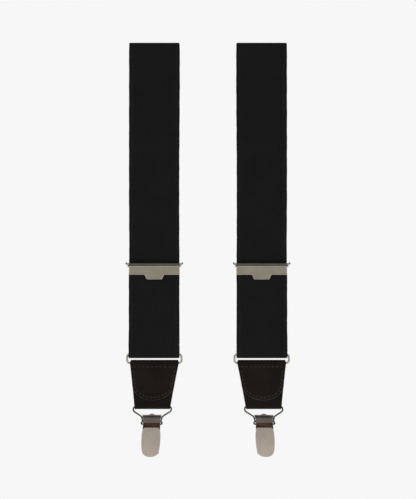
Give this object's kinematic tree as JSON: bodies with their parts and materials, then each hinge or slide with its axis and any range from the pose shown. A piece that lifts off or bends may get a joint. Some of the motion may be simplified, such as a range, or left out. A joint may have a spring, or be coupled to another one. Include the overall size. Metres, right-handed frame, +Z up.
{
  "type": "suspenders",
  "caption": "Clip-on Y-back trouser suspenders in black elastic webbing with flip-lever adjusters, wire rings, leather tabs and hinged metal clips, folded over a bar.",
  "frame": {"origin": "top middle of the two front folds, where the folded pair hangs over a bar", "axes": "+X across the pair to the right as seen from the front, +Y from the front to the back, +Z up; the clips hang down along -Z"},
  "size_m": [0.1138, 0.0383, 0.2876],
  "materials": {
    "webbing": "matt woven elastic webbing",
    "leather": "smooth dyed leather with a low sheen",
    "satin_nickel": "satin nickel plate on pressed steel",
    "bright_nickel": "bright nickel plate on steel wire",
    "grip_plastic": "moulded translucent nylon"
  },
  "bodies": {
    "harness": {"left_strap": "webbing", "right_strap": "webbing", "left_strap_tail": "webbing", "right_strap_tail": "webbing", "rear_strap": "webbing", "back_patch_outer": "leather", "back_patch_inner": "leather"},
    "left_ring_loop": {"left_ring": "bright_nickel"},
    "left_tab": {"left_leather_tab": "leather"},
    "left_bail_loop": {"left_bail": "bright_nickel"},
    "left_clip": {"left_clip_body": "satin_nickel", "left_clip_pin": "bright_nickel", "left_back_grip": "grip_plastic"},
    "left_cover": {"left_clip_cover": "satin_nickel"},
    "left_jaw": {"left_clip_tongue": "satin_nickel", "left_front_grip": "grip_plastic"},
    "right_ring_loop": {"right_ring": "bright_nickel"},
    "right_tab": {"right_leather_tab": "leather"},
    "right_bail_loop": {"right_bail": "bright_nickel"},
    "right_clip": {"right_clip_body": "satin_nickel", "right_clip_pin": "bright_nickel", "right_back_grip": "grip_plastic"},
    "right_cover": {"right_clip_cover": "satin_nickel"},
    "right_jaw": {"right_clip_tongue": "satin_nickel", "right_front_grip": "grip_plastic"},
    "rear_ring_loop": {"rear_ring": "bright_nickel"},
    "rear_tab": {"rear_leather_tab": "leather"},
    "rear_bail_loop": {"rear_bail": "bright_nickel"},
    "rear_clip": {"rear_clip_body": "satin_nickel", "rear_clip_pin": "bright_nickel", "rear_back_grip": "grip_plastic"},
    "rear_cover": {"rear_clip_cover": "satin_nickel"},
    "rear_jaw": {"rear_clip_tongue": "satin_nickel", "rear_front_grip": "grip_plastic"},
    "left_adjuster": {"left_adjuster_frame": "satin_nickel", "left_adjuster_pin": "bright_nickel"},
    "left_lever": {"left_adjuster_lever": "satin_nickel"},
    "right_adjuster": {"right_adjuster_frame": "satin_nickel", "right_adjuster_pin": "bright_nickel"},
    "right_lever": {"right_adjuster_lever": "satin_nickel"}
  },
  "joints": [
    {"name": "left_ring_swing", "type": "hinge", "parent": "harness", "child": "left_ring_loop", "pos_m": [-0.0373, 0.00175, -0.216], "axis": [1, 0, 0], "range_deg": [-60, 60]},
    {"name": "left_tab_swing", "type": "hinge", "parent": "left_ring_loop", "child": "left_tab", "pos_m": [-0.0373, 0.00175, -0.2226], "axis": [1, 0, 0], "range_deg": [-50, 50]},
    {"name": "left_bail_swing", "type": "hinge", "parent": "left_tab", "child": "left_bail_loop", "pos_m": [-0.03865, 0.00175, -0.2526], "axis": [1, 0, 0], "range_deg": [-50, 50]},
    {"name": "left_clip_swing", "type": "hinge", "parent": "left_bail_loop", "child": "left_clip", "pos_m": [-0.0392, 0.00175, -0.2649], "axis": [1, 0, 0], "range_deg": [-40, 40]},
    {"name": "left_cover_open", "type": "hinge", "parent": "left_clip", "child": "left_cover", "pos_m": [-0.0392, 0.0001, -0.2678], "axis": [-1, 0, 0], "range_deg": [0, 100]},
    {"name": "left_jaw_open", "type": "hinge", "parent": "left_clip", "child": "left_jaw", "pos_m": [-0.0392, 0.00085, -0.2712], "axis": [-1, 0, 0], "range_deg": [0, 10]},
    {"name": "right_ring_swing", "type": "hinge", "parent": "harness", "child": "right_ring_loop", "pos_m": [0.0373, 0.00175, -0.216], "axis": [1, 0, 0], "range_deg": [-60, 60]},
    {"name": "right_tab_swing", "type": "hinge", "parent": "right_ring_loop", "child": "right_tab", "pos_m": [0.0373, 0.00175, -0.2226], "axis": [1, 0, 0], "range_deg": [-50, 50]},
    {"name": "right_bail_swing", "type": "hinge", "parent": "right_tab", "child": "right_bail_loop", "pos_m": [0.03865, 0.00175, -0.2526], "axis": [1, 0, 0], "range_deg": [-50, 50]},
    {"name": "right_clip_swing", "type": "hinge", "parent": "right_bail_loop", "child": "right_clip", "pos_m": [0.0392, 0.00175, -0.2649], "axis": [1, 0, 0], "range_deg": [-40, 40]},
    {"name": "right_cover_open", "type": "hinge", "parent": "right_clip", "child": "right_cover", "pos_m": [0.0392, 0.0001, -0.2678], "axis": [-1, 0, 0], "range_deg": [0, 100]},
    {"name": "right_jaw_open", "type": "hinge", "parent": "right_clip", "child": "right_jaw", "pos_m": [0.0392, 0.00085, -0.2712], "axis": [-1, 0, 0], "range_deg": [0, 10]},
    {"name": "rear_ring_swing", "type": "hinge", "parent": "harness", "child": "rear_ring_loop", "pos_m": [0, 0.02975, -0.216], "axis": [1, 0, 0], "range_deg": [-60, 60]},
    {"name": "rear_tab_swing", "type": "hinge", "parent": "rear_ring_loop", "child": "rear_tab", "pos_m": [0, 0.02975, -0.2226], "axis": [1, 0, 0], "range_deg": [-50, 50]},
    {"name": "rear_bail_swing", "type": "hinge", "parent": "rear_tab", "child": "rear_bail_loop", "pos_m": [0, 0.02975, -0.2526], "axis": [1, 0, 0], "range_deg": [-50, 50]},
    {"name": "rear_clip_swing", "type": "hinge", "parent": "rear_bail_loop", "child": "rear_clip", "pos_m": [0, 0.02975, -0.2649], "axis": [1, 0, 0], "range_deg": [-40, 40]},
    {"name": "rear_cover_open", "type": "hinge", "parent": "rear_clip", "child": "rear_cover", "pos_m": [0, 0.0314, -0.2678], "axis": [1, 0, 0], "range_deg": [0, 100]},
    {"name": "rear_jaw_open", "type": "hinge", "parent": "rear_clip", "child": "rear_jaw", "pos_m": [0, 0.03065, -0.2712], "axis": [1, 0, 0], "range_deg": [0, 10]},
    {"name": "left_adjuster_slide", "type": "slide", "parent": "harness", "child": "left_adjuster", "axis": [0, 0, 1], "range_m": [-0.035, 0.09], "deforming": ["left_strap_tail"]},
    {"name": "left_lever_flip", "type": "hinge", "parent": "left_adjuster", "child": "left_lever", "pos_m": [-0.0373, -0.0026, -0.1536], "axis": [-1, 0, 0], "range_deg": [0, 110]},
    {"name": "right_adjuster_slide", "type": "slide", "parent": "harness", "child": "right_adjuster", "axis": [0, 0, 1], "range_m": [-0.035, 0.09], "deforming": ["right_strap_tail"]},
    {"name": "right_lever_flip", "type": "hinge", "parent": "right_adjuster", "child": "right_lever", "pos_m": [0.0373, -0.0026, -0.1536], "axis": [-1, 0, 0], "range_deg": [0, 110]}
  ],
  "couplings": [
    {"joint": "left_jaw_open", "follows": "left_cover_open", "ratio": 0.1},
    {"joint": "right_jaw_open", "follows": "right_cover_open", "ratio": 0.1},
    {"joint": "rear_jaw_open", "follows": "rear_cover_open", "ratio": 0.1}
  ]
}
